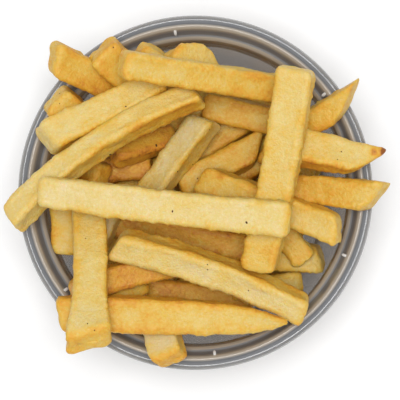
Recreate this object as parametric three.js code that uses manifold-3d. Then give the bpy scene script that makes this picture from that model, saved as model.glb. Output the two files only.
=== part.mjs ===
// A portion of french fries heaped in a round plastic takeaway tub.
// The tub is a turned shell with a stepped rim and six stacking ribs. The heap is four
// layers of fries lying in the tub, and on them the fries that show and one that props
// them. All of them are let down one on another until they rest, and then joined into
// one solid.
// Millimetres, +Z up. The origin is the middle of the tub's underside.

import * as THREE from "three";
import { mergeVertices } from "three/addons/utils/BufferGeometryUtils.js";
import Module from "manifold-3d";

// Tub
const TUB_HEIGHT = 58;
const RIM_RADIUS = 59;
const MOUTH_RADIUS = 51.4;
const BASE_RADIUS = 46;
const WALL = 1;
const TUB_SIDES = 72;
const RIB_COUNT = 6;
const RIB_TURN = 37;
const RIB_WIDTH = 0.9;
const RIB_INNER_RADIUS = 52.9;
const RIB_OUTER_RADIUS = 55.4;
const RIB_HEIGHT = 4.4;
const RIB_DROP = 0.9;

// Fries
const FRY_SIDE = 10;
const FRY_SIDES = 8;
const CORNER = 1.7;
const END_BEVEL = 1.6;
const END_SHRINK = 0.8;
const BODY_START = 0.34;
const BODY_END = 0.67;
const TAPER_PLACE = 0.85;
const CLEARANCE = 0.4;
const GAP = 0.3;
const SQUEEZE = 1.6;

// Hidden layers
const LAYERS = 4;
const LAYER_TURN = 1.15;
const LAYER_START = 0.3;
const LAYER_PITCH = 9;
const ROW_PITCH = 12.5;
const ROW_REACH = 3;
const LAYER_RADIUS = 41;
const LAYER_WIDENING = 1.2;
const LONGEST = 78;
const SHORTEST = 26;
const SEED = 7;

// Core that joins the hidden layers
const CORE_RADIUS = 34;
const CORE_BOTTOM = 2;
const CORE_TOP = 29;
const CORE_SIDES = 24;

// Settling
const CELL = 1;
const LEAST_LEAN = 0.01;
const ROUNDS = 600;
const FIRST_DROP = 0.25;
const LAST_DROP = 0.02;
const LIE_FLAT = 0.999;
const SHOWN_START = 40;
const SHOWN_PITCH = 1.2;
const GENTLE = 0.45;
const STEEP = 0.6;

// Fries that show, and the one that props them, lowest first: the plan places of the
// start and the end, the width at each, how late along the fry its width changes (1 is
// evenly), depth where it isn't FRY_SIDE, roll in degrees, sideways bow, the most that it
// may rise per millimetre, and for the cut at each end how much further the left side
// reaches than the right (skew) and the underside than the top (slope). Left is as seen
// looking from start to end.
const SHOWN_FRIES = [
  { start: [-34, 8], end: [-15.5, 10.5], wide: [8.6, 8.6], roll: 10 },
  { start: [-27.5, 12.5], end: [-8, 19.5], wide: [8.1, 8.1], roll: -12 },
  { start: [-47, 12], end: [-30.5, 5.5], wide: [8.8, 8.8], roll: 8 },
  { start: [-30, -9], end: [20, -18.5], wide: [9.3, 9.3], roll: 10 },
  { start: [-18, -33], end: [18.5, -38], wide: [8.6, 8.6], roll: -10 },
  { start: [-31, -41], end: [-18.5, -30], wide: [7.9, 7.9], roll: 10 },
  { start: [-27.5, -3.5], end: [-35, -20.5], wide: [8.1, 8.1], roll: 4 },
  { start: [22, 15], end: [40, 7], wide: [8.6, 6], roll: 10 },
  { start: [13.5, -33], end: [34.5, -29.5], wide: [8.3, 7.9], roll: 10 },
  { start: [30, 18], end: [25.5, -8], wide: [8.6, 8.6], roll: 4 },
  { start: [-46, 30.5], end: [-30.5, 18.5], wide: [11, 9.4], roll: 8 },
  { start: [-44, 9], end: [-43.5, -20.5], wide: [9.4, 8.8], roll: 4, skew: [0, 1] },
  { start: [-13, -38.5], end: [-7.5, -55.5], wide: [11.2, 10.6], roll: 12 },
  { start: [-40, -33.5], end: [-6.5, -23.5], wide: [8.2, 8.6], roll: 8, bow: 0.8 },
  { start: [-46, 43.5], end: [-26.5, 34.5], wide: [10.4, 9.8], roll: 6, skew: [3, 0] },
  { start: [-30, 46], end: [-16.5, 33], wide: [11, 9.6], roll: 8 },
  { start: [-18, 45.5], end: [-6, 38.5], wide: [8.1, 8.3], roll: 10 },
  { start: [-8.5, 41], end: [7, 41.5], wide: [10.4, 9.4], roll: -6, bow: 1.6, skew: [-2, -4] },
  { start: [2.5, 30.5], end: [29.5, 24], wide: [9.3, 9.3], roll: 10 },
  {
    start: [17, -20], end: [42.5, -22], wide: [9.4, 9.4],
    roll: 6, skew: [0, -3], slope: [0, 5], rise: GENTLE,
  },
  { start: [27, -10.5], end: [37, -23], wide: [8.4, 8], deep: 5, roll: 0 },
  { start: [22.5, 2.5], end: [60.5, -2], wide: [8.7, 9.6], roll: 5, skew: [0, 6], rise: GENTLE },
  { start: [29, 19], end: [51.5, 30.5], wide: [9, 8.8], roll: 6, bow: -1, skew: [0, 10.5], rise: GENTLE },
  { start: [27, 16], end: [57.5, 9], wide: [12.2, 9.4], roll: -14, skew: [0, 10], rise: GENTLE },
  { start: [21.5, 16], end: [-6, 2.5], wide: [9.6, 9.6], roll: 8, skew: [-8, 0], rise: GENTLE },
  {
    start: [-48.5, 16.5], end: [-9.5, 36], wide: [11.2, 8.2],
    roll: -8, skew: [1.3, 0], slope: [4, 0], rise: GENTLE,
  },
  { start: [2.5, 4.5], end: [47.5, -13], wide: [9.7, 9.4], roll: 10, skew: [-2, -3.5], rise: GENTLE },
  { start: [3.5, 25], end: [-16.5, -1.5], wide: [10.2, 8.8], roll: 20, skew: [3, 0], rise: GENTLE },
  { start: [-59, -10], end: [2, 31], wide: [8.8, 7.6], roll: -22, bow: 5, rise: GENTLE },
  {
    start: [-43.5, -40], end: [30.5, -43], wide: [11.3, 1.6], late: 6,
    roll: 6, bow: 0.7, skew: [2.4, 0], rise: GENTLE,
  },
  { start: [-22, 39.5], end: [33.5, 33], wide: [9.2, 9], roll: 10, rise: GENTLE },
  {
    start: [-35.5, 1.5], end: [-32.5, -49], wide: [10.9, 15.6], late: 5,
    roll: -3, bow: 1, skew: [0, -3], slope: [0, 3], rise: GENTLE,
  },
  {
    start: [-25.5, -17.5], end: [36.5, -39.5], wide: [10.2, 9.2],
    roll: 23, bow: 2.6, skew: [-2, 0], rise: GENTLE,
  },
  { start: [33.5, 38.5], end: [21, -26], wide: [11.8, 11.2], roll: 7, bow: 1, rise: GENTLE },
  { start: [-49, -0.5], end: [31.5, -10], wide: [9.9, 11.2], roll: 5, bow: -0.5, rise: GENTLE },
];

const TUB_MATERIAL = new THREE.MeshStandardMaterial({
  name: "clear_plastic",
  color: 0x8c8a84,
  roughness: 0.15,
  metalness: 0,
  transparent: true,
  opacity: 0.45,
});
const FRIES_MATERIAL = new THREE.MeshStandardMaterial({
  name: "fried_potato",
  color: 0xe6bd62,
  roughness: 0.55,
  metalness: 0,
});

const wasm = await Module();
wasm.setup();

// Solids and geometries

function solidOf(geometry) {
  const bare = geometry.clone();
  bare.deleteAttribute("normal");
  bare.deleteAttribute("uv");
  const merged = mergeVertices(bare, 1e-4);
  return new wasm.Manifold(
    new wasm.Mesh({
      numProp: 3,
      vertProperties: new Float32Array(merged.attributes.position.array),
      triVerts: new Uint32Array(merged.index.array),
    }),
  );
}

function geometryOf(solid) {
  const mesh = solid.getMesh();
  const geometry = new THREE.BufferGeometry();
  geometry.setAttribute("position", new THREE.BufferAttribute(mesh.vertProperties, 3));
  geometry.setIndex(new THREE.BufferAttribute(mesh.triVerts, 1));
  geometry.computeVertexNormals();
  return geometry;
}

// Turns a closed profile of [radius, height] points, which runs anticlockwise, about Z.
function turned(profile, sides) {
  const points = profile.map(([radius, height]) => new THREE.Vector2(radius, height));
  const geometry = new THREE.LatheGeometry(points, sides);
  geometry.rotateX(Math.PI / 2);
  return solidOf(geometry);
}

// Tub

// The inside of the tub from the middle of the floor to the lip, as [radius, height].
const INNER_PROFILE = [
  [0, WALL + 0.2],
  [BASE_RADIUS - 4, WALL + 0.2],
  [BASE_RADIUS - 1.4, WALL + 0.9],
  [BASE_RADIUS, WALL + 3],
  [MOUTH_RADIUS, TUB_HEIGHT - 6.4],
  [MOUTH_RADIUS + 0.9, TUB_HEIGHT - 5.4],
  [MOUTH_RADIUS + 1.7, TUB_HEIGHT - 5.2],
  [RIM_RADIUS - 4.5, TUB_HEIGHT - 0.7],
  [RIM_RADIUS - 3.7, TUB_HEIGHT],
  [RIM_RADIUS - 3.1, TUB_HEIGHT - 0.2],
  [RIM_RADIUS - 2.4, TUB_HEIGHT - 1.4],
  [RIM_RADIUS - 1.1, TUB_HEIGHT - 1.6],
  [RIM_RADIUS - 0.3, TUB_HEIGHT - 0.8],
];

// The outside, from the lip back to the middle of the underside.
const OUTER_PROFILE = [
  [RIM_RADIUS, TUB_HEIGHT - 1.1],
  [RIM_RADIUS - 0.6, TUB_HEIGHT - 2.5],
  [RIM_RADIUS - 2.9, TUB_HEIGHT - 2.5],
  [RIM_RADIUS - 3.7, TUB_HEIGHT - 1.3],
  [MOUTH_RADIUS + 2.7, TUB_HEIGHT - 6.3],
  [MOUTH_RADIUS + 1, TUB_HEIGHT - 6.6],
  [BASE_RADIUS + WALL, WALL + 2.6],
  [BASE_RADIUS - 0.6, 0.5],
  [BASE_RADIUS - 1.8, 0],
  [0, 0],
];

function ribs() {
  const all = [];
  for (let k = 0; k < RIB_COUNT; k++) {
    const length = RIB_OUTER_RADIUS - RIB_INNER_RADIUS;
    const rib = new THREE.BoxGeometry(length, RIB_WIDTH, RIB_HEIGHT);
    rib.translate(
      (RIB_INNER_RADIUS + RIB_OUTER_RADIUS) / 2,
      0,
      TUB_HEIGHT - RIB_HEIGHT / 2 - RIB_DROP,
    );
    rib.rotateZ(((RIB_TURN + (360 / RIB_COUNT) * k) * Math.PI) / 180);
    all.push(solidOf(rib));
  }
  return all;
}

function makeTub() {
  let tub = turned([...OUTER_PROFILE].reverse().concat([...INNER_PROFILE].reverse()), TUB_SIDES);
  for (const rib of ribs()) {
    tub = tub.add(rib);
  }
  return tub;
}

// The part of the inside below the mouth, which is what fries can lie on in the tub.
const BOWL_PROFILE = INNER_PROFILE.filter(([radius]) => radius <= MOUTH_RADIUS);

// Height of what a fry can rest on at a distance from the axis, or null past the rim.
// The groove of the rim is too narrow for a fry, so the rim counts as flat.
function tubHeight(radius) {
  if (radius > RIM_RADIUS) {
    return null;
  }
  for (let k = 1; k < BOWL_PROFILE.length; k++) {
    const [r0, z0] = BOWL_PROFILE[k - 1];
    const [r1, z1] = BOWL_PROFILE[k];
    if (radius <= r1) {
      return z0 + ((z1 - z0) * (radius - r0)) / (r1 - r0);
    }
  }
  return TUB_HEIGHT;
}

// The space that the heap keeps out of: all below the surface that it rests on.
function keepOutSolid() {
  const surface = BOWL_PROFILE.map(([radius, height]) => [
    Math.max(0, radius - GAP),
    height + GAP,
  ]);
  const rim = [
    [MOUTH_RADIUS - GAP, TUB_HEIGHT + GAP],
    [RIM_RADIUS + GAP, TUB_HEIGHT + GAP],
    [RIM_RADIUS + GAP, -GAP],
    [0, -GAP],
  ];
  return turned(surface.concat(rim).reverse(), TUB_SIDES);
}

// Fries

let state = SEED;

// Next number of a seeded linear congruential generator, from 0 to 1.
function draw() {
  state = (Math.imul(state, 1664525) + 1013904223) >>> 0;
  return state / 2 ** 32;
}

function makeFry(row, layer, middle) {
  const { start, end, wide, roll, late = 1, deep = FRY_SIDE } = row;
  const { bow = 0, skew = [0, 0], slope = [0, 0] } = row;
  const length = Math.hypot(end[0] - start[0], end[1] - start[1]);
  return {
    start,
    length,
    ux: (end[0] - start[0]) / length,
    uy: (end[1] - start[1]) / length,
    wide,
    late,
    deep,
    roll: (roll * Math.PI) / 180,
    bow,
    skew,
    slope,
    mostRise: (row.rise ?? STEEP) * length,
    layer,
    middle,
    rise: 0,
  };
}

// Rows of fries side by side across the tub, each layer turned against the one below.
function hiddenFries() {
  const fries = [];
  for (let layer = 0; layer < LAYERS; layer++) {
    const turn = LAYER_START + LAYER_TURN * layer;
    for (let k = -ROW_REACH; k <= ROW_REACH; k++) {
      const aside = k * ROW_PITCH + (draw() - 0.5) * 3;
      const reach = LAYER_RADIUS + LAYER_WIDENING * layer;
      const chord = 2 * Math.sqrt(Math.max(0, reach ** 2 - (Math.abs(aside) + FRY_SIDE / 2) ** 2));
      const length = Math.min(chord, LONGEST);
      const heading = turn + (draw() - 0.5) * 0.1;
      if (length < SHORTEST) {
        continue;
      }
      const along = (chord - length) * (draw() - 0.5);
      const x = Math.cos(turn) * along - Math.sin(turn) * aside;
      const y = Math.sin(turn) * along + Math.cos(turn) * aside;
      const dx = (Math.cos(heading) * length) / 2;
      const dy = (Math.sin(heading) * length) / 2;
      const roll = 20 * draw() - 10;
      const row = { start: [x - dx, y - dy], end: [x + dx, y + dy], roll };
      row.wide = [FRY_SIDE, FRY_SIDE];
      fries.push(makeFry(row, layer, LAYER_PITCH * (layer + 1)));
    }
  }
  return fries;
}

function shownFries(count) {
  return SHOWN_FRIES.map((row, k) => makeFry(row, null, SHOWN_START + SHOWN_PITCH * (count + k)));
}

function clamp(value, low, high) {
  return Math.max(low, Math.min(high, value));
}

// Half the width and half the depth of a fry at a place from 0 to 1 along it, which is
// so many millimetres from the nearer end.
function halfSizes(fry, t, fromEnd) {
  const wide = (fry.wide[0] + (fry.wide[1] - fry.wide[0]) * t ** fry.late) / 2;
  const deep = (fry.deep * wide) / Math.max(...fry.wide);
  const shrink = clamp(END_SHRINK + ((1 - END_SHRINK) * fromEnd) / END_BEVEL, 0, 1);
  return [wide * shrink, deep * shrink];
}

// How far the cuts at the ends move a point of the section along the fry.
function endShift(fry, t, side, lift) {
  const bevel = END_BEVEL / fry.length;
  const near = clamp((BODY_START - t) / (BODY_START - bevel), 0, 1);
  const far = clamp((t - BODY_END) / (1 - bevel - BODY_END), 0, 1);
  const [start, end] = [0, 1].map(
    (k) => (fry.skew[k] * side) / fry.wide[k] - (fry.slope[k] * lift) / fry.deep,
  );
  return far * end - near * start;
}

// Height of a fry's section over its middle, at a distance to one side of the middle
// line, or null past its outline. The section is a rolled rectangle with cut corners.
function heightAbove(off, wide, deep, roll) {
  let top = Infinity;
  for (let k = 0; k < FRY_SIDES; k++) {
    const angle = roll + (k * Math.PI) / 4;
    const slanted = (wide + deep - CORNER) / Math.SQRT2;
    const reach = [wide, slanted, deep, slanted][k % 4];
    const room = reach - Math.cos(angle) * off;
    const lean = Math.sin(angle);
    if (lean > LEAST_LEAN) {
      top = Math.min(top, room / lean);
    } else if (Math.abs(lean) <= LEAST_LEAN && room < 0) {
      return null;
    }
  }
  return top;
}

// The cells of the plan that a fry covers: for each, its place along the fry from -0.5
// to 0.5, and how far the top and the underside lie from the fry's middle line.
function footprint(fry) {
  const cells = new Map();
  const reach = FRY_SIDE + Math.abs(fry.bow) + Math.max(...fry.skew.map(Math.abs)) / 2;
  const [x1, y1] = fry.start;
  const x2 = x1 + fry.ux * fry.length;
  const y2 = y1 + fry.uy * fry.length;
  const firstX = Math.floor((Math.min(x1, x2) - reach) / CELL);
  const lastX = Math.ceil((Math.max(x1, x2) + reach) / CELL);
  const firstY = Math.floor((Math.min(y1, y2) - reach) / CELL);
  const lastY = Math.ceil((Math.max(y1, y2) + reach) / CELL);
  for (let i = firstX; i <= lastX; i++) {
    for (let j = firstY; j <= lastY; j++) {
      const dx = i * CELL - x1;
      const dy = j * CELL - y1;
      const t = (dx * fry.ux + dy * fry.uy) / fry.length;
      const off = dy * fry.ux - dx * fry.uy - fry.bow * 4 * t * (1 - t);
      const first = (-fry.skew[0] * off) / fry.wide[0] / fry.length;
      const last = 1 + (fry.skew[1] * off) / fry.wide[1] / fry.length;
      const fromEnd = Math.min(t - first, last - t) * fry.length;
      if (fromEnd < 0) {
        continue;
      }
      const [wide, deep] = halfSizes(fry, clamp(t, 0, 1), fromEnd);
      const top = heightAbove(off, wide, deep, fry.roll);
      const under = heightAbove(-off, wide, deep, fry.roll);
      if (top !== null && under !== null && top + under > 0) {
        cells.set(i * 1000 + j, { t: t - 0.5, top, under, radius: Math.hypot(i, j) * CELL });
      }
    }
  }
  return cells;
}

// Pairs of crossing fries, with the places where the upper one could touch the lower.
function crossings(fries, prints) {
  const pairs = [];
  for (let upper = 0; upper < fries.length; upper++) {
    for (let lower = 0; lower < upper; lower++) {
      const sameLayer = fries[upper].layer !== null && fries[upper].layer === fries[lower].layer;
      if (sameLayer) {
        continue;
      }
      const places = [];
      for (const [key, above] of prints[upper]) {
        const below = prints[lower].get(key);
        if (below) {
          places.push([above.t, below.t, above.under + below.top]);
        }
      }
      if (places.length > 3) {
        pairs.push({ upper: fries[upper], lower: fries[lower], places });
      }
    }
  }
  return pairs;
}

// Lets all the fries down together. In each round every fry sinks a little, then those
// that cross are pushed apart until they overlap by SQUEEZE, and out of the tub.
function settle(fries) {
  const prints = fries.map(footprint);
  const pairs = crossings(fries, prints);
  const rests = fries.map((fry, k) => {
    const places = [];
    for (const cell of prints[k].values()) {
      const floor = tubHeight(cell.radius);
      if (floor !== null) {
        places.push([cell.t, floor + CLEARANCE + cell.under]);
      }
    }
    return { fry, places };
  });
  for (let round = 0; round < ROUNDS; round++) {
    const drop = FIRST_DROP * (1 - round / ROUNDS) + LAST_DROP;
    for (const fry of fries) {
      fry.middle -= drop;
      fry.rise *= LIE_FLAT;
    }
    for (const { upper, lower, places } of pairs) {
      let worst = 0;
      let touch = null;
      for (const place of places) {
        const gap =
          upper.middle + upper.rise * place[0] - lower.middle - lower.rise * place[1] - place[2];
        if (gap + SQUEEZE < worst) {
          worst = gap + SQUEEZE;
          touch = place;
        }
      }
      if (touch) {
        const push = -worst / (2 + 12 * touch[0] ** 2 + 12 * touch[1] ** 2);
        upper.middle += push;
        upper.rise += push * 12 * touch[0];
        lower.middle -= push;
        lower.rise -= push * 12 * touch[1];
      }
    }
    for (const { fry, places } of rests) {
      for (let pass = 0; pass < 2; pass++) {
        let worst = 0;
        let touch = 0;
        for (const [t, height] of places) {
          const gap = fry.middle + fry.rise * t - height;
          if (gap < worst) {
            worst = gap;
            touch = t;
          }
        }
        const push = -worst / (1 + 12 * touch ** 2);
        fry.middle += push;
        fry.rise += push * 12 * touch;
      }
      fry.rise = clamp(fry.rise, -fry.mostRise, fry.mostRise);
    }
  }
}

// Point k of a fry's eight-sided section: a rectangle with its corners cut off.
function sectionPoint(k, wide, deep) {
  const right = k < 2 || k > 5 ? 1 : -1;
  const upper = k < 4 ? 1 : -1;
  const onSide = k % 4 === 0 || k % 4 === 3;
  return onSide ? [right * wide, upper * (deep - CORNER)] : [right * (wide - CORNER), upper * deep];
}

// Places along a fry, from 0 to 1, where it has a ring of points. The fries of the hidden
// layers have none between their two ends.
function ringPlaces(fry) {
  const bevel = END_BEVEL / fry.length;
  const between = fry.layer === null ? [BODY_START, BODY_END, TAPER_PLACE] : [];
  return [0, bevel, ...between, 1 - bevel, 1];
}

function frySolid(fry) {
  const places = ringPlaces(fry);
  const last = places.length - 1;
  const geometry = new THREE.CylinderGeometry(1, 1, 1, FRY_SIDES, last);
  const positions = geometry.attributes.position;
  const [c, s] = [Math.cos(fry.roll), Math.sin(fry.roll)];
  const tilt = Math.atan2(fry.rise, fry.length);
  for (let i = 0; i < positions.count; i++) {
    const [x, y, z] = [positions.getX(i), positions.getY(i), positions.getZ(i)];
    const t = places[Math.round((y + 0.5) * last)];
    let across = 0;
    let up = 0;
    if (Math.hypot(x, z) > 0.5) {
      const turn = Math.atan2(z, -x) / (2 * Math.PI);
      const k = Math.round(turn * FRY_SIDES + FRY_SIDES) % FRY_SIDES;
      [across, up] = sectionPoint(k, ...halfSizes(fry, t, Math.min(t, 1 - t) * fry.length));
    }
    const side = across * c - up * s;
    const lift = across * s + up * c;
    const place = fry.length * t + endShift(fry, t, side, lift);
    const along = place - lift * Math.sin(tilt) * Math.cos(tilt);
    const aside = side + fry.bow * 4 * t * (1 - t);
    const middle = fry.middle + fry.rise * (place / fry.length - 0.5);
    positions.setXYZ(
      i,
      fry.start[0] + fry.ux * along - fry.uy * aside,
      fry.start[1] + fry.uy * along + fry.ux * aside,
      middle + lift * Math.cos(tilt) ** 2,
    );
  }
  return solidOf(geometry);
}

function coreSolid() {
  const profile = [
    [0, CORE_BOTTOM],
    [CORE_RADIUS - 2, CORE_BOTTOM],
    [CORE_RADIUS, CORE_BOTTOM + 2],
    [CORE_RADIUS, CORE_TOP - 5],
    [CORE_RADIUS - 6, CORE_TOP],
    [0, CORE_TOP],
  ];
  return turned(profile, CORE_SIDES);
}

// The joined heap without the scraps and the hollows that joining leaves.
function makeFries() {
  const hidden = hiddenFries();
  const fries = hidden.concat(shownFries(hidden.length));
  settle(fries);
  let heap = coreSolid();
  for (const fry of fries) {
    heap = heap.add(frySolid(fry));
  }
  heap = heap.subtract(keepOutSolid());
  return heap.decompose().reduce((a, b) => (a.volume() > b.volume() ? a : b));
}

function named(name, solid, material) {
  const mesh = new THREE.Mesh(geometryOf(solid), material);
  mesh.name = name;
  return mesh;
}

const portion = new THREE.Group();
portion.add(named("tub", makeTub(), TUB_MATERIAL));
portion.add(named("fries", makeFries(), FRIES_MATERIAL));

export default portion;
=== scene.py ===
# Looks of a portion of french fries heaped in a round takeaway tub.
import math

import bmesh
import bpy
import numpy as np
from mathutils import Matrix, Vector
from mathutils.bvhtree import BVHTree


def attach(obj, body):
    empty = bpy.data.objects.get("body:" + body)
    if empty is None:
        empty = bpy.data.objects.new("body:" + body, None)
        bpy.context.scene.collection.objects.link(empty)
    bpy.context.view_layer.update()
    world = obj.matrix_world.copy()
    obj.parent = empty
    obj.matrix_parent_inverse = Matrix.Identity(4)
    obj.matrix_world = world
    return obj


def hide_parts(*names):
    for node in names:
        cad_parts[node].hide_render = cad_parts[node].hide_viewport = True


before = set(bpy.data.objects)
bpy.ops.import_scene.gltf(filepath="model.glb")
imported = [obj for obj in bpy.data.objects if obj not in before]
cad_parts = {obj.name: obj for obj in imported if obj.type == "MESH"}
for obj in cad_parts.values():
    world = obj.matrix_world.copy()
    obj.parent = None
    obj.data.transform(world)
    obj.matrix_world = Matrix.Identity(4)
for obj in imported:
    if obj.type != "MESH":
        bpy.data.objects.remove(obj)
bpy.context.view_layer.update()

MM = 0.001

# Tub, in millimetres
TUB_HEIGHT = 58.0
RIM_RADIUS = 59.0
MOUTH_RADIUS = 51.4
BASE_RADIUS = 46.0
WALL = 1.0
TUB_SIDES = 192
CORNER_STEPS = 4
RIB_COUNT = 6
RIB_TURN = 37.0
RIB_WIDTH = 0.9
RIB_INNER_RADIUS = 52.9
RIB_OUTER_RADIUS = 55.4
RIB_HEIGHT = 4.4
RIB_DROP = 0.9
RIB_BEVEL = 0.25
CORNER_RADIUS = 0.7

# Fries, in millimetres
FRY_SIDE = 10.0
CORNER = 1.7
END_BEVEL = 1.6
END_SHRINK = 0.8
BODY_START = 0.34
BODY_END = 0.67
CLEARANCE = 0.4
SQUEEZE = 1.6

# Hidden layers
LAYERS = 4
LAYER_TURN = 1.15
LAYER_START = 0.3
LAYER_PITCH = 9.0
ROW_PITCH = 12.5
ROW_REACH = 3
LAYER_RADIUS = 41.0
LAYER_WIDENING = 1.2
LONGEST = 78.0
SHORTEST = 26.0
SEED = 7

# Core under the hidden layers
CORE_RADIUS = 34.0
CORE_BOTTOM = 2.0
CORE_TOP = 29.0
CORE_SIDES = 96

# Settling
CELL = 1.0
LEAST_LEAN = 0.01
ROUNDS = 600
FIRST_DROP = 0.25
LAST_DROP = 0.02
LIE_FLAT = 0.999
SHOWN_START = 40.0
SHOWN_PITCH = 1.2
GENTLE = 0.45
STEEP = 0.6

# Fries that show, and the one that props them, lowest first: the plan places of the
# start and the end, the width at each, how late along the fry its width changes (1 is
# evenly), depth where it isn't FRY_SIDE, roll in degrees, sideways bow, the most that it
# may rise per millimetre, and for the cut at each end how much further the left side
# reaches than the right (skew) and the underside than the top (slope). Left is as seen
# looking from start to end.
SHOWN_FRIES = [
    dict(start=(-34, 8), end=(-15.5, 10.5), wide=(8.6, 8.6), roll=10),
    dict(start=(-27.5, 12.5), end=(-8, 19.5), wide=(8.1, 8.1), roll=-12),
    dict(start=(-47, 12), end=(-30.5, 5.5), wide=(8.8, 8.8), roll=8),
    dict(start=(-30, -9), end=(20, -18.5), wide=(9.3, 9.3), roll=10),
    dict(start=(-18, -33), end=(18.5, -38), wide=(8.6, 8.6), roll=-10),
    dict(start=(-31, -41), end=(-18.5, -30), wide=(7.9, 7.9), roll=10),
    dict(start=(-27.5, -3.5), end=(-35, -20.5), wide=(8.1, 8.1), roll=4),
    dict(start=(22, 15), end=(40, 7), wide=(8.6, 6), roll=10),
    dict(start=(13.5, -33), end=(34.5, -29.5), wide=(8.3, 7.9), roll=10),
    dict(start=(30, 18), end=(25.5, -8), wide=(8.6, 8.6), roll=4),
    dict(start=(-46, 30.5), end=(-30.5, 18.5), wide=(11, 9.4), roll=8),
    dict(start=(-44, 9), end=(-43.5, -20.5), wide=(9.4, 8.8), roll=4, skew=(0, 1)),
    dict(start=(-13, -38.5), end=(-7.5, -55.5), wide=(11.2, 10.6), roll=12),
    dict(start=(-40, -33.5), end=(-6.5, -23.5), wide=(8.2, 8.6), roll=8, bow=0.8),
    dict(start=(-46, 43.5), end=(-26.5, 34.5), wide=(10.4, 9.8), roll=6, skew=(3, 0)),
    dict(start=(-30, 46), end=(-16.5, 33), wide=(11, 9.6), roll=8),
    dict(start=(-18, 45.5), end=(-6, 38.5), wide=(8.1, 8.3), roll=10),
    dict(start=(-8.5, 41), end=(7, 41.5), wide=(10.4, 9.4), roll=-6, bow=1.6, skew=(-2, -4)),
    dict(start=(2.5, 30.5), end=(29.5, 24), wide=(9.3, 9.3), roll=10),
    dict(
        start=(17, -20), end=(42.5, -22), wide=(9.4, 9.4), roll=6, skew=(0, -3), slope=(0, 5),
        rise=GENTLE,
    ),
    dict(start=(27, -10.5), end=(37, -23), wide=(8.4, 8.0), deep=5, roll=0),
    dict(start=(22.5, 2.5), end=(60.5, -2), wide=(8.7, 9.6), roll=5, skew=(0, 6), rise=GENTLE),
    dict(
        start=(29, 19), end=(51.5, 30.5), wide=(9, 8.8), roll=6, bow=-1.0, skew=(0, 10.5),
        rise=GENTLE,
    ),
    dict(start=(27, 16), end=(57.5, 9), wide=(12.2, 9.4), roll=-14, skew=(0, 10), rise=GENTLE),
    dict(start=(21.5, 16), end=(-6, 2.5), wide=(9.6, 9.6), roll=8, skew=(-8, 0), rise=GENTLE),
    dict(
        start=(-48.5, 16.5), end=(-9.5, 36), wide=(11.2, 8.2), roll=-8, skew=(1.3, 0),
        slope=(4, 0), rise=GENTLE,
    ),
    dict(start=(2.5, 4.5), end=(47.5, -13), wide=(9.7, 9.4), roll=10, skew=(-2, -3.5), rise=GENTLE),
    dict(start=(3.5, 25), end=(-16.5, -1.5), wide=(10.2, 8.8), roll=20, skew=(3, 0), rise=GENTLE),
    dict(start=(-59, -10), end=(2, 31), wide=(8.8, 7.6), roll=-22, bow=5.0, rise=GENTLE),
    dict(
        start=(-43.5, -40), end=(30.5, -43), wide=(11.3, 1.6), late=6, roll=6, bow=0.7,
        skew=(2.4, 0), rise=GENTLE,
    ),
    dict(start=(-22, 39.5), end=(33.5, 33), wide=(9.2, 9.0), roll=10, rise=GENTLE),
    dict(
        start=(-35.5, 1.5), end=(-32.5, -49), wide=(10.9, 15.6), late=5, roll=-3, bow=1.0,
        skew=(0, -3), slope=(0, 3), rise=GENTLE,
    ),
    dict(
        start=(-25.5, -17.5), end=(36.5, -39.5), wide=(10.2, 9.2), roll=23, bow=2.6,
        skew=(-2, 0), rise=GENTLE,
    ),
    dict(start=(33.5, 38.5), end=(21, -26), wide=(11.8, 11.2), roll=7, bow=1.0, rise=GENTLE),
    dict(start=(-49, -0.5), end=(31.5, -10), wide=(9.9, 11.2), roll=5, bow=-0.5, rise=GENTLE),
]
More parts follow.
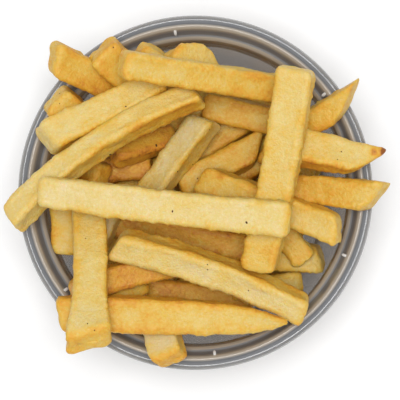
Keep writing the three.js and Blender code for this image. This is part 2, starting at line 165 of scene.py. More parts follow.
# How brown each of those fries is, in the same order: the top at the start and at the
# end, the left side, the right side (a pair where a side changes from the start to the
# end), and the faces of the start and of the end, from 0 for cream to 1 for deep golden
# brown. The sides are mostly set browner than the top, partly as painted shade.
BROWNING_AND_SIDE_SHADE = [
    (0.72, 0.72, 0.8, 0.8, 0.8, 0.8),
    (0.70, 0.70, 0.75, 0.75, 0.75, 0.75),
    (0.55, 0.55, 0.6, 0.6, 0.6, 0.6),
    (0.66, 0.66, 0.7, 0.7, 0.65, 0.65),
    (0.66, 0.66, 0.7, 0.7, 0.65, 0.65),
    (0.45, 0.45, 0.5, 0.5, 0.5, 0.5),
    (0.00, 0.00, 0.30, 0.30, 0.50, 0.50),
    (0.60, 0.60, 0.6, 0.6, 0.6, 0.6),
    (0.30, 0.30, 0.40, 0.40, 0.50, 0.50),
    (0.50, 0.50, 0.6, 0.6, 0.6, 0.6),
    (0.45, 0.55, 0.6, 0.5, 0.45, 0.6),
    (0.62, 0.30, 0.65, 0.65, 0.60, 0.45),
    (0.0, 0.0, 0.4, 0.1, 0.4, 0.60),
    (0.66, 0.66, 0.7, 0.7, 0.65, 0.65),
    (0.56, 0.62, 0.60, 0.60, 0.50, 0.70),
    (0.55, 0.55, 0.60, 0.60, 0.55, 0.60),
    (0.15, 0.15, 0.50, 0.40, 0.50, 0.50),
    (0.33, 0.36, 0.5, 0.5, 0.5, 0.5),
    (0.55, 0.60, 0.6, 0.6, 0.6, 0.6),
    (0.40, 0.40, 0.50, 0.50, 0.50, 0.45),
    (0.50, 0.50, 0.4, 0.6, 0.5, 0.5),
    (0.76, 0.36, 0.50, 0.50, 0.50, 0.45),
    (0.52, 0.48, 0.5, 0.6, 0.5, 0.5),
    (0.35, 0.33, 0.45, 0.7, 0.5, 0.5),
    (0.50, 0.50, 0.6, 0.6, 0.5, 0.6),
    (0.28, 0.32, 0.40, 0.60, 0.30, 0.50),
    (0.52, 0.38, 0.55, 0.6, 0.6, 0.45),
    (0.00, 0.35, 0.42, 0.40, 0.30, 0.60),
    (0.22, 0.34, 0.35, (0.25, 0.75), 0.3, 0.5),
    (0.54, 0.38, 0.65, 0.5, 0.5, 0.5),
    (0.38, 0.58, 0.40, 0.60, 0.50, 0.50),
    (0.40, 0.18, 0.55, 0.4, 0.5, 0.50),
    (0.24, 0.22, 0.52, 0.5, 0.4, 0.45),
    (0.28, 0.48, 0.5, 0.5, 0.35, 0.5),
    (0.14, 0.20, 0.35, 0.45, 0.3, 0.5),
]
# Hidden fries: sides browner than the top, partly as painted shade
HIDDEN_BROWNING_AND_SIDE_SHADE = (0.50, 0.50, 0.6, 0.6, 0.6, 0.6)

# Browned spots and dark flecks: plan place, radius and, for a spot, how brown it is
SPOTS = [
    (58.6, 12.4, 1.2, 0.8),
    (62.6, 12.6, 1.8, 0.9),
]
SPECKS = [
    (-5.8, -7.4, 0.34),
    (17.7, -11.0, 0.42),
    (4.8, -24.2, 0.28),
    (4.8, -25.8, 0.22),
    (18.0, -32.6, 0.24),
    (-21.7, 27.1, 0.28),
    (-25.6, 46.2, 0.24),
    (-44.0, 32.0, 0.2),
    (-43.8, 28.6, 0.18),
    (4.8, 21.1, 0.22),
    (-6.0, 7.1, 0.24),
    (0.4, 5.1, 0.26),
    (-1.2, 9.8, 0.2),
    (48.2, 12.4, 0.26),
    (46.9, 9.8, 0.2),
    (-34.6, -15.7, 0.2),
    (-32.5, -42.9, 0.24),
    (-30.2, -45.0, 0.24),
    (-27.0, 11.7, 0.5),
    (-13.2, 16.0, 0.45),
]
SPECK_SIDES = 8
# Rings of a fleck from its edge inwards: share of its radius and height over the fry
SPECK_RINGS = ((1.0, -0.06), (0.85, 0.05), (0.45, 0.1))
# A height over the whole heap, in metres, from which the places of flecks are looked down on
ABOVE_HEAP = 0.12

# Fry surface, in millimetres
FINE = 0.65
COARSE = 2.0
EDGE_RADIUS = 1.7
HOLLOW = 0.22
LUMP = 0.34
BLISTER = 0.3
CRUST = 0.15
CRUMB = 0.28
END_LUMP = 0.35
END_BROWN = 3.0
GAP = 0.3
# Shares of browning and of size that vary over a fry
EDGE_BROWN = 0.13
PATCH_BROWN = 0.1
WAVE = 0.05
# Sizes in millimetres of the noises that shape and brown a fry
WIDTH_WAVE_SIZE = 17
DEPTH_WAVE_SIZE = 19
LUMP_SIZE = 5
SMALL_LUMP_SIZE = 2.4
CRUST_SIZE = 1.1
CRUMB_SIZE = 0.9
PATCH_SIZE = 6
EDGE_PATCH_SIZE = 3
# Rounded ends: how long they are, and rings of one as place from the cut and share of the
# full section
ROUNDED_END = 2.0
COARSE_CAP = [(0.0, 0.02), (0.0, 0.35), (0.05, 0.68), (0.4, 0.86), (1.0, 0.94), (2.0, 1.0)]
FINE_CAP = [(0.0, share) for share in (0.02, 0.12, 0.24, 0.36, 0.48, 0.58)]
FINE_CAP += [(0.04, 0.67), (0.16, 0.76), (0.4, 0.845), (0.8, 0.915), (1.35, 0.965), (2.0, 0.99)]

# Colours, as linear values
POTATO_TONES = [
    (0.0, (0.68, 0.55, 0.28)),
    (0.25, (0.66, 0.49, 0.15)),
    (0.5, (0.66, 0.415, 0.058)),
    (0.65, (0.65, 0.34, 0.030)),
    (0.85, (0.54, 0.22, 0.020)),
    (1.0, (0.26, 0.084, 0.009)),
]
# Pale flecks: partly the potato's own pale blisters, partly painted glints on its oily skin
PALE_FLECK_AND_GLINT = (0.70, 0.61, 0.34, 1)
FLECK_TONES = [(0.3, (0.04, 0.018, 0.006)), (0.7, (0.12, 0.055, 0.02))]
FLOOR_TONES = [(0.3, (0.93, 0.93, 0.93)), (0.7, (0.95, 0.95, 0.95))]
# Near-white colour of the ribs: a painted highlight
RIB_HIGHLIGHT_COLOUR = (0.8, 0.79, 0.77, 1)
# The tub's colour by distance from its axis: painted highlights in the pale beige rings and the
# light outer fringe, painted shade in the dark grey bands, and painted shade warmed by the fries'
# light on the taupe wall inside
RIM_HIGHLIGHT_AND_SHADE_RINGS = [
    (50.8, (0.17, 0.115, 0.055)),
    (51.5, (0.45, 0.39, 0.31)),
    (52.3, (0.42, 0.37, 0.30)),
    (52.7, (0.22, 0.225, 0.235)),
    (53.9, (0.19, 0.195, 0.205)),
    (54.5, (0.44, 0.39, 0.32)),
    (55.6, (0.42, 0.37, 0.31)),
    (56.3, (0.18, 0.185, 0.195)),
    (57.7, (0.17, 0.175, 0.185)),
    (58.4, (0.34, 0.345, 0.35)),
]
WALL_ALPHA = 0.42
RIM_ALPHA = 0.88
RINGS_START = 50.8
RINGS_END = 59.5

# Camera and light, in metres, but the sensor in millimetres and the power in watts
CAMERA_AT = Vector((0.028, -0.028, 0.658))
CAMERA_AIM = Vector((0.0018, -0.0027, 0.058))
VIEW_WIDTH = 0.1326
SENSOR = 36.0
FLOOR_REACH = 3.0
SKY_STRENGTH = 0.55
KEY_AT = (0.03, -0.02, 1.2)
KEY_SIZE = 0.45
KEY_POWER = 10.0
LIT_PLACE = (0, 0, 0.05)


# Noise

def hashed(lattice, seed):
    """A number from -1 to 1 for each whole-number lattice point."""
    x, y, z = (lattice[..., k].astype(np.int64) for k in range(3))
    mixed = (x * 374761393 + y * 668265263 + z * 2147483647 + seed * 1274126177) & 0xFFFFFFFF
    mixed = ((mixed ^ (mixed >> 13)) * 1103515245) & 0xFFFFFFFF
    mixed = ((mixed ^ (mixed >> 16)) * 2246822519) & 0xFFFFFFFF
    return (mixed & 0xFFFFFF) / 0x7FFFFF - 1.0


def noise(points, size, seed):
    """Smooth noise from about -1 to 1, with bumps of the given size."""
    scaled = points / size
    base = np.floor(scaled)
    part = scaled - base
    ease = part * part * (3.0 - 2.0 * part)
    total = np.zeros(len(points))
    for dx in (0, 1):
        for dy in (0, 1):
            for dz in (0, 1):
                weight = np.ones(len(points))
                for k, d in enumerate((dx, dy, dz)):
                    weight = weight * (ease[:, k] if d else 1.0 - ease[:, k])
                total += weight * hashed(base + (dx, dy, dz), seed)
    return total


# Where the fries lie: the same rule as the CAD model's

state = SEED


def draw():
    """Next number of a seeded linear congruential generator, from 0 to 1."""
    global state
    state = (state * 1664525 + 1013904223) & 0xFFFFFFFF
    return state / 2**32


class Fry:
    def __init__(self, start, end, wide, roll, layer, middle, deep=FRY_SIDE, rise=STEEP,
                 late=1, bow=0, skew=(0, 0), slope=(0, 0)):
        self.start = np.array(start, float)
        span = np.array(end, float) - self.start
        self.length = math.hypot(*span)
        self.along = span / self.length
        self.aside = np.array((-self.along[1], self.along[0]))
        self.wide = wide
        self.deep = deep
        self.late = late
        self.roll = math.radians(roll)
        self.bow = bow
        self.skew = skew
        self.slope = slope
        self.most_rise = rise * self.length
        self.layer = layer
        self.middle = middle
        self.rise = 0.0

    def half_sizes(self, t, from_end):
        """Half the width and half the depth at places from 0 to 1 along the fry."""
        wide = (self.wide[0] + (self.wide[1] - self.wide[0]) * t**self.late) / 2
        shrink = np.clip(END_SHRINK + (1 - END_SHRINK) * from_end / END_BEVEL, 0, 1)
        deep = self.deep * wide / max(self.wide)
        return wide * shrink, deep * shrink

    def end_shift(self, t, side, lift):
        """How far the cuts at the ends move a point of the section along the fry."""
        bevel = END_BEVEL / self.length
        near = np.clip((BODY_START - t) / (BODY_START - bevel), 0, 1)
        far = np.clip((t - BODY_END) / (1 - bevel - BODY_END), 0, 1)
        start = self.skew[0] * side / self.wide[0] - self.slope[0] * lift / self.deep
        end = self.skew[1] * side / self.wide[1] - self.slope[1] * lift / self.deep
        return far * end - near * start


def hidden_fries():
    """Rows of fries side by side across the tub, each layer turned against the one below."""
    fries = []
    for layer in range(LAYERS):
        turn = LAYER_START + LAYER_TURN * layer
        for row in range(-ROW_REACH, ROW_REACH + 1):
            aside = row * ROW_PITCH + (draw() - 0.5) * 3
            reach = LAYER_RADIUS + LAYER_WIDENING * layer
            chord = 2 * math.sqrt(max(0, reach**2 - (abs(aside) + FRY_SIDE / 2) ** 2))
            length = min(chord, LONGEST)
            heading = turn + (draw() - 0.5) * 0.1
            if length < SHORTEST:
                continue
            along = (chord - length) * (draw() - 0.5)
            x = math.cos(turn) * along - math.sin(turn) * aside
            y = math.sin(turn) * along + math.cos(turn) * aside
            dx = math.cos(heading) * length / 2
            dy = math.sin(heading) * length / 2
            roll = 20 * draw() - 10
            middle = LAYER_PITCH * (layer + 1)
            wide = (FRY_SIDE, FRY_SIDE)
            fries.append(Fry((x - dx, y - dy), (x + dx, y + dy), wide, roll, layer, middle))
    return fries


def shown_fries(count):
    return [
        Fry(**row, layer=None, middle=SHOWN_START + SHOWN_PITCH * (count + k))
        for k, row in enumerate(SHOWN_FRIES)
    ]


INNER_PROFILE = [
    (0, WALL + 0.2),
    (BASE_RADIUS - 4, WALL + 0.2),
    (BASE_RADIUS - 1.4, WALL + 0.9),
    (BASE_RADIUS, WALL + 3),
    (MOUTH_RADIUS, TUB_HEIGHT - 6.4),
    (MOUTH_RADIUS + 0.9, TUB_HEIGHT - 5.4),
    (MOUTH_RADIUS + 1.7, TUB_HEIGHT - 5.2),
    (RIM_RADIUS - 4.5, TUB_HEIGHT - 0.7),
    (RIM_RADIUS - 3.7, TUB_HEIGHT),
    (RIM_RADIUS - 3.1, TUB_HEIGHT - 0.2),
    (RIM_RADIUS - 2.4, TUB_HEIGHT - 1.4),
    (RIM_RADIUS - 1.1, TUB_HEIGHT - 1.6),
    (RIM_RADIUS - 0.3, TUB_HEIGHT - 0.8),
]
OUTER_PROFILE = [
    (RIM_RADIUS, TUB_HEIGHT - 1.1),
    (RIM_RADIUS - 0.6, TUB_HEIGHT - 2.5),
    (RIM_RADIUS - 2.9, TUB_HEIGHT - 2.5),
    (RIM_RADIUS - 3.7, TUB_HEIGHT - 1.3),
    (MOUTH_RADIUS + 2.7, TUB_HEIGHT - 6.3),
    (MOUTH_RADIUS + 1, TUB_HEIGHT - 6.6),
    (BASE_RADIUS + WALL, WALL + 2.6),
    (BASE_RADIUS - 0.6, 0.5),
    (BASE_RADIUS - 1.8, 0),
    (0, 0),
]


def tub_height(radius):
    """Height of what a fry can rest on at distances from the axis, or NaN past the rim."""
    bowl = [point for point in INNER_PROFILE if point[0] <= MOUTH_RADIUS]
    height = np.interp(radius, [r for r, _ in bowl], [z for _, z in bowl])
    height = np.where(radius > MOUTH_RADIUS, TUB_HEIGHT, height)
    return np.where(radius > RIM_RADIUS, np.nan, height)


def height_above(off, wide, deep, roll):
    """Height of a fry's section over its middle, at distances to one side, or NaN past it."""
    top = np.full(off.shape, np.inf)
    outside = np.zeros(off.shape, bool)
    slanted = (wide + deep - CORNER) / math.sqrt(2)
    for k in range(8):
        angle = roll + k * math.pi / 4
        room = (wide, slanted, deep, slanted)[k % 4] - math.cos(angle) * off
        lean = math.sin(angle)
        if lean > LEAST_LEAN:
            top = np.minimum(top, room / lean)
        elif abs(lean) <= LEAST_LEAN:
            outside |= room < 0
    return np.where(outside, np.nan, top)


def footprint(fry):
    """The cells of the plan that a fry covers: their keys, places along the fry from -0.5
    to 0.5, heights of the top and the underside, and distances from the tub's axis."""
    reach = FRY_SIDE + abs(fry.bow) + max(abs(fry.skew[0]), abs(fry.skew[1])) / 2
    end = fry.start + fry.along * fry.length
    first = np.floor((np.minimum(fry.start, end) - reach) / CELL).astype(int)
    last = np.ceil((np.maximum(fry.start, end) + reach) / CELL).astype(int)
    i, j = np.meshgrid(
        np.arange(first[0], last[0] + 1), np.arange(first[1], last[1] + 1), indexing="ij"
    )
    i = i.ravel()
    j = j.ravel()
    dx = i * CELL - fry.start[0]
    dy = j * CELL - fry.start[1]
    t = (dx * fry.along[0] + dy * fry.along[1]) / fry.length
    off = dy * fry.along[0] - dx * fry.along[1] - fry.bow * 4 * t * (1 - t)
    first_t = -fry.skew[0] * off / fry.wide[0] / fry.length
    last_t = 1 + fry.skew[1] * off / fry.wide[1] / fry.length
    from_end = np.minimum(t - first_t, last_t - t) * fry.length
    wide, deep = fry.half_sizes(np.clip(t, 0, 1), from_end)
    top = height_above(off, wide, deep, fry.roll)
    under = height_above(-off, wide, deep, fry.roll)
    covered = (from_end >= 0) & (top + under > 0)
    radius = np.hypot(i, j) * CELL
    return [a[covered] for a in (i * 1000 + j, t - 0.5, top, under, radius)]


def crossings(fries, prints):
    """Pairs of crossing fries, with the places where the upper one could touch the lower."""
    pairs = []
    for upper in range(len(fries)):
        for lower in range(upper):
            layer = fries[upper].layer
            if layer is not None and layer == fries[lower].layer:
                continue
            above, below = prints[upper], prints[lower]
            _, a, b = np.intersect1d(above[0], below[0], return_indices=True)
            if len(a) > 3:
                apart = above[3][a] + below[2][b]
                pairs.append((fries[upper], fries[lower], above[1][a], below[1][b], apart))
    return pairs


def settle(fries):
    """Lets all the fries down together. In each round every fry sinks a little, then those
    that cross are pushed apart until they overlap by SQUEEZE, and out of the tub."""
    prints = [footprint(fry) for fry in fries]
    pairs = crossings(fries, prints)
    rests = []
    for fry, (_, t, _, under, radius) in zip(fries, prints):
        floor = tub_height(radius)
        solid = ~np.isnan(floor)
        if solid.any():
            rests.append((fry, t[solid], floor[solid] + CLEARANCE + under[solid]))
    for step in range(ROUNDS):
        drop = FIRST_DROP * (1 - step / ROUNDS) + LAST_DROP
        for fry in fries:
            fry.middle -= drop
            fry.rise *= LIE_FLAT
        for upper, lower, above, below, apart in pairs:
            gap = upper.middle + upper.rise * above - lower.middle - lower.rise * below - apart
            k = gap.argmin()
            worst = gap[k] + SQUEEZE
            if worst < 0:
                push = -worst / (2 + 12 * above[k] ** 2 + 12 * below[k] ** 2)
                upper.middle += push
                upper.rise += push * 12 * above[k]
                lower.middle -= push
                lower.rise -= push * 12 * below[k]
        for fry, t, height in rests:
            for _ in range(2):
                gap = fry.middle + fry.rise * t - height
                k = gap.argmin()
                if gap[k] < 0:
                    push = -gap[k] / (1 + 12 * t[k] ** 2)
                    fry.middle += push
                    fry.rise += push * 12 * t[k]
        for fry in fries:
            fry.rise = max(-fry.most_rise, min(fry.most_rise, fry.rise))


# Meshes

def new_piece(name, points, faces, material, node):
    """A mesh object from points in millimetres, which rides on the body and replaces a node."""
    mesh = bpy.data.meshes.new(name)
    mesh.from_pydata((points * MM).tolist(), [], faces)
    mesh.validate()
    mesh.polygons.foreach_set("use_smooth", [True] * len(mesh.polygons))
    mesh.materials.append(material)
    piece = bpy.data.objects.new(name, mesh)
    bpy.context.scene.collection.objects.link(piece)
    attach(piece, "root")
    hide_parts(node)
    return piece


def section_outline(step):
    """A rounded square section as arrays: the corner that each point belongs to, from -1 to
    1 both ways, its outward direction, and how near it is to an edge, from 0 to 1."""
    corner_points = max(2, round(EDGE_RADIUS * 1.6 / step)) + 1
    side_points = max(2, round((FRY_SIDE - 2 * EDGE_RADIUS) / step) - 1)
    corners = []
    directions = []
    edges = []
    for k in range(4):
        corner = np.array(((1, 1), (-1, 1), (-1, -1), (1, -1))[k], float)
        following = np.array(((-1, 1), (-1, -1), (1, -1), (1, 1))[k], float)
        for point in range(corner_points):
            angle = (k + point / (corner_points - 1)) * math.pi / 2
            corners.append(corner)
            directions.append((math.cos(angle), math.sin(angle)))
            edges.append(1.0)
        normal = (math.cos((k + 1) * math.pi / 2), math.sin((k + 1) * math.pi / 2))
        for point in range(1, side_points + 1):
            place = point / (side_points + 1)
            corners.append(corner + (following - corner) * place)
            directions.append(normal)
            edges.append(abs(2 * place - 1) ** 3)
    return np.array(corners), np.array(directions), np.array(edges)


def fry_rings(fry, step):
    """Rings along a fry from its start to its end: place along it in millimetres and the
    share of the full section, with the two ends rounded and closed."""
    cap = COARSE_CAP if step > 1 else FINE_CAP
    straight = fry.length - 2 * ROUNDED_END
    count = max(2, round(straight / step))
    body = [(ROUNDED_END + straight * k / count, 1.0) for k in range(1, count)]
    far = [(fry.length - place, share) for place, share in reversed(cap)]
    return np.array(cap + body + far)


def fry_surface(fry, browning_and_side_shade, step, seed):
    """Points, faces and brownness of one fry, as it lies; its sides mostly come out browner than
    its top, partly as painted shade.
    """
    corners, directions, edges = section_outline(step)
    rings = fry_rings(fry, step)
    around = len(corners)
    place = np.repeat(rings[:, 0], around)
    share = np.repeat(rings[:, 1], around)
    corner = np.tile(corners, (len(rings), 1))
    direction = np.tile(directions, (len(rings), 1))
    edge = np.tile(edges, len(rings))
    t = place / fry.length
    half = FRY_SIDE / 2 - 1
    local = np.stack((place, corner[:, 0] * half, corner[:, 1] * half), 1)
    local[:, 1:] = (local[:, 1:] + direction) * share[:, None]
    local += seed * 37.3

    wide, deep = fry.half_sizes(t, END_BEVEL)
    along_noise = np.stack((place, place * 0, place * 0), 1) + seed * 11.7
    wide = wide * (1 + WAVE * noise(along_noise, WIDTH_WAVE_SIZE, seed)) * share
    deep = deep * (1 + WAVE * noise(along_noise, DEPTH_WAVE_SIZE, seed + 1)) * share
    radius = EDGE_RADIUS * (1 + 0.4 * noise(local, LUMP_SIZE, seed + 2))
    radius = np.minimum(radius, wide * 0.6)
    hollow = HOLLOW * (1 - edge) * share
    lump = LUMP * noise(local, LUMP_SIZE, seed + 3)
    lump = lump + 0.45 * LUMP * noise(local, SMALL_LUMP_SIZE, seed + 4)
    blister = np.clip(noise(local, SMALL_LUMP_SIZE, seed + 5) - 0.3, 0, 1)
    blister = BLISTER * blister * (0.6 + edge)
    crust = CRUST * (0.4 + 0.6 * edge) * noise(local, CRUST_SIZE, seed + 6)
    crumb = CRUMB * np.clip(noise(local, CRUMB_SIZE, seed + 7) - 0.25, 0, 1) * edge * 2
    out = radius - hollow + (lump + blister + crust + crumb) * np.minimum(1, share * 1.2)
    across = corner[:, 0] * (wide - radius) + direction[:, 0] * out
    up = corner[:, 1] * (deep - radius) + direction[:, 1] * out
    from_cut = np.minimum(place, fry.length - place)
    capped = np.clip(ROUNDED_END - from_cut, 0, ROUNDED_END) / ROUNDED_END
    place = place + END_LUMP * capped * noise(local, SMALL_LUMP_SIZE, seed + 8)

    c, s = math.cos(fry.roll), math.sin(fry.roll)
    side = across * c - up * s
    lift = across * s + up * c
    place = place + fry.end_shift(t, side, lift)
    tilt = math.atan2(fry.rise, fry.length)
    along = place - lift * math.sin(tilt) * math.cos(tilt)
    bow = fry.bow * 4 * t * (1 - t)
    points = np.empty((len(place), 3))
    points[:, :2] = fry.start + np.outer(along, fry.along) + np.outer(side + bow, fry.aside)
    middle = fry.middle + fry.rise * (place / fry.length - 0.5)
    points[:, 2] = middle + lift * math.cos(tilt) ** 2

    first = np.arange(len(rings) - 1)[:, None] * around
    here = np.arange(around)
    following = (here + 1) % around
    quads = (first + here, first + following, first + around + following, first + around + here)
    faces = np.stack(quads, -1).reshape(-1, 4).tolist()
    faces.append(list(reversed(range(around))))
    faces.append(list(range((len(rings) - 1) * around, len(rings) * around)))

    # Sides and underside mostly take more brown than the top: partly painted shade
    top_start, top_end, left, right, start, end = browning_and_side_shade
    weight = direction**2
    top = top_start + (top_end - top_start) * t
    left, right = (np.interp(t, (0, 1), np.broadcast_to(side, 2)) for side in (left, right))
    sides = np.where(direction[:, 0] > 0, left, right) * weight[:, 0]
    faces_up = np.where(direction[:, 1] > 0, top, 0.5 * (left + right)) * weight[:, 1]
    brown = sides + faces_up
    from_start = t * fry.length
    from_end = fry.length - from_start
    brown = brown + (start - brown) * np.clip(1.3 * (1 - from_start / END_BROWN), 0, 1)
    brown = brown + (end - brown) * np.clip(1.3 * (1 - from_end / END_BROWN), 0, 1)
    patches = PATCH_BROWN * noise(local, PATCH_SIZE, seed + 9)
    edge_patches = 0.6 + 0.8 * noise(local, EDGE_PATCH_SIZE, seed + 10)
    edges_brown = EDGE_BROWN * edge * edge_patches * share
    return points, faces, np.clip(brown + edges_brown + patches, 0, 1)


def keep_clear(points):
    """The points moved off the tub: up from its rim and in from its wall."""
    bowl = [point for point in INNER_PROFILE if 44 < point[0] <= MOUTH_RADIUS]
    radius = np.hypot(points[:, 0], points[:, 1])
    height = points[:, 2]
    over_rim = (radius > MOUTH_RADIUS - GAP) & (height > TUB_HEIGHT - 3)
    height = np.where(over_rim, np.maximum(height, TUB_HEIGHT + GAP), height)
    wall = np.interp(height, [z for _, z in bowl], [r for r, _ in bowl]) - GAP
    inside = np.where(height < TUB_HEIGHT + GAP, np.minimum(1, wall / radius), 1)
    height = np.maximum(height, WALL + 0.2 + GAP)
    return np.stack((points[:, 0] * inside, points[:, 1] * inside, height), 1)


def heap_piece(name, fries, brownings_and_side_shade, step, material, seed):
    """Many fries as one joined mesh with a value at every point for how brown it is, with the
    painted shade of the sides in it.
    """
    all_points = []
    all_faces = []
    all_brown = []
    count = 0
    for k, (fry, browning_and_side_shade) in enumerate(zip(fries, brownings_and_side_shade)):
        points, faces, brown = fry_surface(fry, browning_and_side_shade, step, seed + k * 20)
        all_points.append(keep_clear(points))
        all_faces.extend([v + count for v in face] for face in faces)
        all_brown.append(brown)
        count += len(points)
    points = np.concatenate(all_points)
    brown = np.concatenate(all_brown)
    for x, y, spot_radius, strength in SPOTS:
        near = np.hypot(points[:, 0] - x, points[:, 1] - y) / spot_radius
        brown = brown + strength * np.exp(-(near**2))
    piece = new_piece(name, points, all_faces, material, "fries")
    layer = piece.data.attributes.new("browning_and_side_shade", "FLOAT", "POINT")
    layer.data.foreach_set("value", np.clip(brown, 0, 1.3).astype(np.float32))
    return piece


def speck_piece(specks, heap, material):
    """Small dark flecks lying on the heap at the given plan places."""
    vertices = []
    polygons = []
    for piece in heap:
        count = len(vertices)
        vertices.extend(vertex.co.copy() for vertex in piece.data.vertices)
        polygons.extend([v + count for v in face.vertices] for face in piece.data.polygons)
    tree = BVHTree.FromPolygons(vertices, polygons)
    points = []
    faces = []
    for x, y, size in specks:
        above = Vector((x * MM, y * MM, ABOVE_HEAP))
        place, normal, _, _ = tree.ray_cast(above, Vector((0, 0, -1)))
        across = normal.orthogonal().normalized()
        beside = normal.cross(across)
        first = len(points)
        for ring, lift in SPECK_RINGS:
            for k in range(SPECK_SIDES):
                angle = 2 * math.pi * k / SPECK_SIDES
                reach = size * ring * (1 + 0.25 * math.sin(2 * angle + x))
                point = across * math.cos(angle) * reach + beside * math.sin(angle) * reach
                points.append(place / MM + point + normal * lift)
        for ring in range(2):
            for k in range(SPECK_SIDES):
                a = first + ring * SPECK_SIDES
                following = (k + 1) % SPECK_SIDES
                b = a + SPECK_SIDES
                faces.append([a + k, a + following, b + following, b + k])
        faces.append([first + 2 * SPECK_SIDES + k for k in range(SPECK_SIDES)])
    return new_piece("fries_specks", np.array(points), faces, material, "fries")


def rounded(profile, radius):
    """A profile with its inner corners rounded."""
    points = [Vector(point) for point in profile]
    result = [points[0]]
    for before, corner, after in zip(points, points[1:], points[2:]):
        cut = min(radius, (corner - before).length * 0.45, (after - corner).length * 0.45)
        first = corner + (before - corner).normalized() * cut
        last = corner + (after - corner).normalized() * cut
        for step in range(CORNER_STEPS + 1):
            s = step / CORNER_STEPS
            result.append(first * (1 - s) ** 2 + corner * (2 * s * (1 - s)) + last * s**2)
    result.append(points[-1])
    return result


def turned(profile, sides):
    """Points and faces of a profile turned about Z; both its ends lie on the axis."""
    ring_points = [point for point in profile if point[0] > 1e-6]
    points = []
    for radius, height in ring_points:
        for k in range(sides):
            angle = 2 * math.pi * k / sides
            points.append((radius * math.cos(angle), radius * math.sin(angle), height))
    faces = []
    for ring in range(len(ring_points) - 1):
        for k in range(sides):
            following = (k + 1) % sides
            a = ring * sides
            b = a + sides
            faces.append((a + k, a + following, b + following, b + k))
    points.append((0, 0, profile[0][1]))
    points.append((0, 0, profile[-1][1]))
    last = (len(ring_points) - 1) * sides
    for k in range(sides):
        following = (k + 1) % sides
        faces.append((len(points) - 2, following, k))
        faces.append((len(points) - 1, last + k, last + following))
    return np.array(points), faces


def make_tub(material):
    profile = rounded(INNER_PROFILE + OUTER_PROFILE, CORNER_RADIUS)
    points, faces = turned(list(reversed(profile)), TUB_SIDES)
    tub = new_piece("tub_shell", points, faces, material, "tub")
    shape = bmesh.new()
    shape.from_mesh(tub.data)
    for k in range(RIB_COUNT):
        made = bmesh.ops.create_cube(shape, size=1)
        verts = made["verts"]
        length = RIB_OUTER_RADIUS - RIB_INNER_RADIUS
        bmesh.ops.scale(shape, verts=verts, vec=(length * MM, RIB_WIDTH * MM, RIB_HEIGHT * MM))
        middle = (
            (RIB_INNER_RADIUS + RIB_OUTER_RADIUS) / 2 * MM,
            0,
            (TUB_HEIGHT - RIB_HEIGHT / 2 - RIB_DROP) * MM,
        )
        bmesh.ops.translate(shape, verts=verts, vec=middle)
        turn = math.radians(RIB_TURN + 360 / RIB_COUNT * k)
        rotation = Matrix.Rotation(turn, 3, "Z")
        bmesh.ops.rotate(shape, verts=verts, cent=(0, 0, 0), matrix=rotation)
        edges = {edge for vert in verts for edge in vert.link_edges}
        bmesh.ops.bevel(shape, geom=list(edges), offset=RIB_BEVEL * MM, segments=2, affect="EDGES")
    shell_points = len(tub.data.vertices)
    shape.to_mesh(tub.data)
    shape.free()
    # The ribs are marked to take their painted highlight colour
    pale = tub.data.attributes.new("pale", "FLOAT", "POINT")
    rib_points = len(tub.data.vertices) - shell_points
    pale.data.foreach_set("value", [0.0] * shell_points + [1.0] * rib_points)
    tub.data.polygons.foreach_set("use_smooth", [True] * len(tub.data.polygons))
    return tub


# Materials

class Nodes:
    """A node material and short ways to add to it. All textures are in object space."""

    def __init__(self, name):
        self.material = bpy.data.materials.new(name)
        self.material.use_nodes = True
        self.tree = self.material.node_tree
        self.shader = self.tree.nodes["Principled BSDF"]
        self.place = self.tree.nodes.new("ShaderNodeTexCoord").outputs["Object"]

    def feed(self, socket, value):
        if isinstance(value, bpy.types.NodeSocket):
            self.tree.links.new(value, socket)
        else:
            socket.default_value = value

    def math(self, operation, first, second=0.0, clamped=False):
        node = self.tree.nodes.new("ShaderNodeMath")
        node.operation = operation
        node.use_clamp = clamped
        self.feed(node.inputs[0], first)
        self.feed(node.inputs[1], second)
        return node.outputs[0]

    def swing(self, value, amount, clamped=False):
        """A value from 0 to 1, centred on 0 and scaled by the given amount."""
        centred = self.math("SUBTRACT", value, 0.5)
        return self.math("MULTIPLY", centred, amount, clamped)

    def noise(self, scale, detail):
        node = self.tree.nodes.new("ShaderNodeTexNoise")
        node.inputs["Scale"].default_value = scale
        node.inputs["Detail"].default_value = detail
        self.tree.links.new(self.place, node.inputs["Vector"])
        return node.outputs["Fac"]

    def attribute(self, name):
        node = self.tree.nodes.new("ShaderNodeAttribute")
        node.attribute_name = name
        return node.outputs["Fac"]

    def ramp(self, factor, stops):
        node = self.tree.nodes.new("ShaderNodeValToRGB")
        while len(node.color_ramp.elements) < len(stops):
            node.color_ramp.elements.new(0.5)
        for element, (position, colour) in zip(node.color_ramp.elements, stops):
            element.position = position
            element.color = (*colour, 1)
        self.feed(node.inputs["Fac"], factor)
        return node.outputs["Color"]

    def mix(self, factor, first, second):
        node = self.tree.nodes.new("ShaderNodeMix")
        node.data_type = "RGBA"
        self.feed(node.inputs[0], factor)
        self.feed(node.inputs[6], first)
        self.feed(node.inputs[7], second)
        return node.outputs[2]

    def bump(self, height, strength, distance):
        node = self.tree.nodes.new("ShaderNodeBump")
        node.inputs["Strength"].default_value = strength
        node.inputs["Distance"].default_value = distance
        self.feed(node.inputs["Height"], height)
        self.feed(self.shader.inputs["Normal"], node.outputs["Normal"])


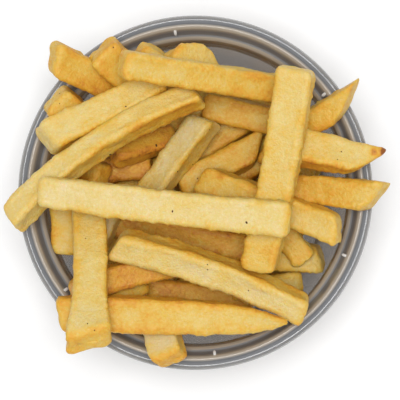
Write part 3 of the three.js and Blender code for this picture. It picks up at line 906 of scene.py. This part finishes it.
def fried_potato():
    """Fried potato: cream to golden brown by how brown each point is, which on the sides is partly
    painted shade, mottled, with pale flecks that are partly the potato's own blisters and partly
    painted glints.
    """
    nodes = Nodes("fried_potato")
    shader = nodes.shader
    patches = nodes.noise(260.0, 3.0)
    grain = nodes.noise(1000.0, 3.0)
    fleck_and_glint_grain = nodes.noise(2100.0, 2.0)
    tone = nodes.math("ADD", nodes.attribute("browning_and_side_shade"), nodes.swing(patches, 0.42))
    tone = nodes.math("ADD", tone, nodes.swing(grain, 0.45))
    colour = nodes.ramp(tone, POTATO_TONES)
    # Pale flecks where the potato is pale: partly blisters, partly painted glints
    flecks = nodes.swing(fleck_and_glint_grain, 3.0, clamped=True)
    pale = nodes.math("SUBTRACT", 1.0, nodes.math("MULTIPLY", tone, 1.6), clamped=True)
    flecks = nodes.math("MULTIPLY", flecks, pale)
    colour = nodes.mix(flecks, colour, PALE_FLECK_AND_GLINT)
    nodes.feed(shader.inputs["Base Color"], colour)
    roughness = nodes.math("ADD", 0.32, nodes.math("MULTIPLY", grain, 0.35))
    nodes.feed(shader.inputs["Roughness"], roughness)
    shader.inputs["Subsurface Weight"].default_value = 0.4
    shader.inputs["Subsurface Radius"].default_value = (1.0, 0.45, 0.15)
    shader.inputs["Subsurface Scale"].default_value = 0.003
    shader.inputs["IOR"].default_value = 1.42
    nodes.bump(nodes.math("ADD", grain, nodes.math("MULTIPLY", fleck_and_glint_grain, 0.6)), 0.8, 0.0004)
    return nodes.material


def dark_fleck():
    """Burnt speck: nearly black brown, matte."""
    nodes = Nodes("dark_fleck")
    colour = nodes.ramp(nodes.noise(1500.0, 2.0), FLECK_TONES)
    nodes.feed(nodes.shader.inputs["Base Color"], colour)
    nodes.shader.inputs["Roughness"].default_value = 0.9
    nodes.shader.inputs["Specular IOR Level"].default_value = 0.1
    return nodes.material


def clear_plastic():
    """Smoke-grey food plastic, glossy and see-through, whose rim carries painted highlights and
    painted shade ring by ring, and whose ribs carry a painted highlight.
    """
    nodes = Nodes("clear_plastic")
    shader = nodes.shader
    flat = nodes.tree.nodes.new("ShaderNodeVectorMath")
    flat.operation = "MULTIPLY"
    flat.inputs[1].default_value = (1 / MM, 1 / MM, 0)
    nodes.feed(flat.inputs[0], nodes.place)
    far = nodes.tree.nodes.new("ShaderNodeVectorMath")
    far.operation = "LENGTH"
    nodes.feed(far.inputs[0], flat.outputs["Vector"])
    haze = nodes.noise(60.0, 3.0)
    radius = nodes.math("ADD", far.outputs["Value"], nodes.swing(haze, 0.5))
    across = RINGS_END - RINGS_START
    ring = nodes.math("DIVIDE", nodes.math("SUBTRACT", radius, RINGS_START), across, clamped=True)
    # Colour by distance from the axis: painted highlight rings, painted shade bands and a taupe
    # wall of painted shade
    stops = [((place - RINGS_START) / across, colour) for place, colour in RIM_HIGHLIGHT_AND_SHADE_RINGS]
    # The ribs are painted near white: painted highlights
    colour = nodes.mix(nodes.attribute("pale"), nodes.ramp(ring, stops), RIB_HIGHLIGHT_COLOUR)
    nodes.feed(shader.inputs["Base Color"], colour)
    roughness = nodes.math("ADD", 0.06, nodes.math("MULTIPLY", haze, 0.2))
    nodes.feed(shader.inputs["Roughness"], roughness)
    solid = nodes.math("ADD", WALL_ALPHA, nodes.math("MULTIPLY", ring, 20.0, clamped=True))
    nodes.feed(shader.inputs["Alpha"], nodes.math("MINIMUM", solid, RIM_ALPHA))
    shader.inputs["IOR"].default_value = 1.5
    return nodes.material


def pale_floor():
    """Nearly white, matte."""
    nodes = Nodes("pale_floor")
    colour = nodes.ramp(nodes.noise(3.0, 2.0), FLOOR_TONES)
    nodes.feed(nodes.shader.inputs["Base Color"], colour)
    nodes.shader.inputs["Roughness"].default_value = 0.9
    return nodes.material


# Stage

def make_floor():
    mesh = bpy.data.meshes.new("floor")
    reach = FLOOR_REACH
    corners = [(-reach, -reach, 0), (reach, -reach, 0), (reach, reach, 0), (-reach, reach, 0)]
    mesh.from_pydata(corners, [], [(0, 1, 2, 3)])
    mesh.materials.append(pale_floor())
    floor = bpy.data.objects.new("floor", mesh)
    bpy.context.scene.collection.objects.link(floor)


def area_light(name, place, size, power):
    light = bpy.data.lights.new(name, "AREA")
    light.size = size
    light.energy = power
    lamp = bpy.data.objects.new(name, light)
    lamp.location = place
    aim = Vector(LIT_PLACE) - Vector(place)
    lamp.rotation_euler = aim.to_track_quat("-Z", "Y").to_euler()
    bpy.context.scene.collection.objects.link(lamp)


def make_stage():
    make_floor()
    world = bpy.data.worlds.new("studio")
    world.use_nodes = True
    background = world.node_tree.nodes["Background"]
    background.inputs["Color"].default_value = (1, 1, 1, 1)
    background.inputs["Strength"].default_value = SKY_STRENGTH
    bpy.context.scene.world = world
    area_light("key", KEY_AT, KEY_SIZE, KEY_POWER)
    bpy.context.scene.view_settings.view_transform = "Standard"


def make_camera():
    camera = bpy.data.cameras.new("camera")
    camera.sensor_width = SENSOR
    distance = (CAMERA_AIM - CAMERA_AT).length
    camera.lens = SENSOR * distance / VIEW_WIDTH
    camera.clip_start = 0.01
    holder = bpy.data.objects.new("camera", camera)
    holder.location = CAMERA_AT
    back = (CAMERA_AT - CAMERA_AIM).normalized()
    right = Vector((0, 1, 0)).cross(back).normalized()
    holder.rotation_euler = Matrix((right, back.cross(right), back)).transposed().to_euler()
    bpy.context.scene.collection.objects.link(holder)
    bpy.context.scene.camera = holder


hidden = hidden_fries()
shown = shown_fries(len(hidden))
settle(hidden + shown)

potato = fried_potato()
parts = [slice(0, 16), slice(16, 26), slice(26, None)]
heap = [
    heap_piece(f"fries_shown_{k + 1}", shown[part], BROWNING_AND_SIDE_SHADE[part], FINE, potato, 100 + 1000 * k)
    for k, part in enumerate(parts)
]
heap_piece("fries_hidden", hidden, [HIDDEN_BROWNING_AND_SIDE_SHADE] * len(hidden), COARSE, potato, 9000)
speck_piece(SPECKS, heap, dark_fleck())
core_profile = [
    (0, CORE_TOP),
    (CORE_RADIUS - 6, CORE_TOP),
    (CORE_RADIUS, CORE_TOP - 5),
    (CORE_RADIUS, CORE_BOTTOM + 2),
    (CORE_RADIUS - 2, CORE_BOTTOM),
    (0, CORE_BOTTOM),
]
core_points, core_faces = turned(list(reversed(core_profile)), CORE_SIDES)
new_piece("fries_core", core_points, core_faces, potato, "fries")
make_tub(clear_plastic())
make_stage()
make_camera()
